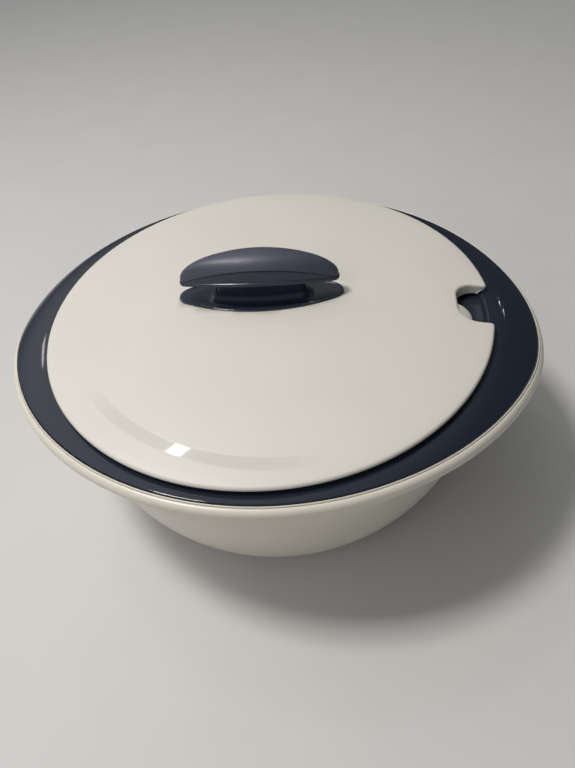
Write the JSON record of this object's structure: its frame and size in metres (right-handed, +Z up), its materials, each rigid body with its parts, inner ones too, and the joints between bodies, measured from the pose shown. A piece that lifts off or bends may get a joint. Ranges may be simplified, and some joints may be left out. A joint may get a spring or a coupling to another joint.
{
  "type": "insulated serving casserole",
  "caption": "Oval double-walled insulated serving bowl with a navy lift-off lid and a round white cover that turns under a low arched handle.",
  "frame": {"origin": "on the table under the axis of the round cover, which is also the centre of the oval rim", "axes": "+Z up, +X along the long axis of the rim towards the notch of the cover, -Y towards the user"},
  "size_m": [0.2894, 0.2524, 0.144],
  "materials": {
    "white_gloss": "smooth gloss",
    "white_satin": "fine satin",
    "navy_gloss": "high gloss",
    "navy_dish": "high gloss",
    "navy_smooth": "smooth semi-gloss",
    "navy_satin": "fine grained satin",
    "foam": "rigid foam",
    "rubber_ring": "soft matt",
    "steel": "plated"
  },
  "bodies": {
    "bowl": {"outer_shell": "white_gloss", "liner": "white_gloss", "bowl_insulation": "foam", "foot_ring": "rubber_ring", "fill_plug": "white_gloss"},
    "lid": {"lid_top": "navy_gloss", "lid_inner": "white_gloss", "lid_insulation": "foam", "pivot_cap": "white_gloss"},
    "cover": {"cover": "white_satin", "handle_base": "navy_dish", "handle_grip": "navy_smooth", "grip_crown": "navy_satin", "clamp_plate": "white_satin", "handle_screws": "steel", "pivot_washer": "steel", "pivot_screw": "steel"}
  },
  "joints": [
    {"name": "lid_lift", "type": "slide", "parent": "bowl", "child": "lid", "axis": [0, 0, 1], "range_m": [0, 0.12]},
    {"name": "cover_turn", "type": "hinge", "parent": "lid", "child": "cover", "pos_m": [0, 0, 0.105], "axis": [0, 0, 1], "range_deg": [0, 60]}
  ]
}
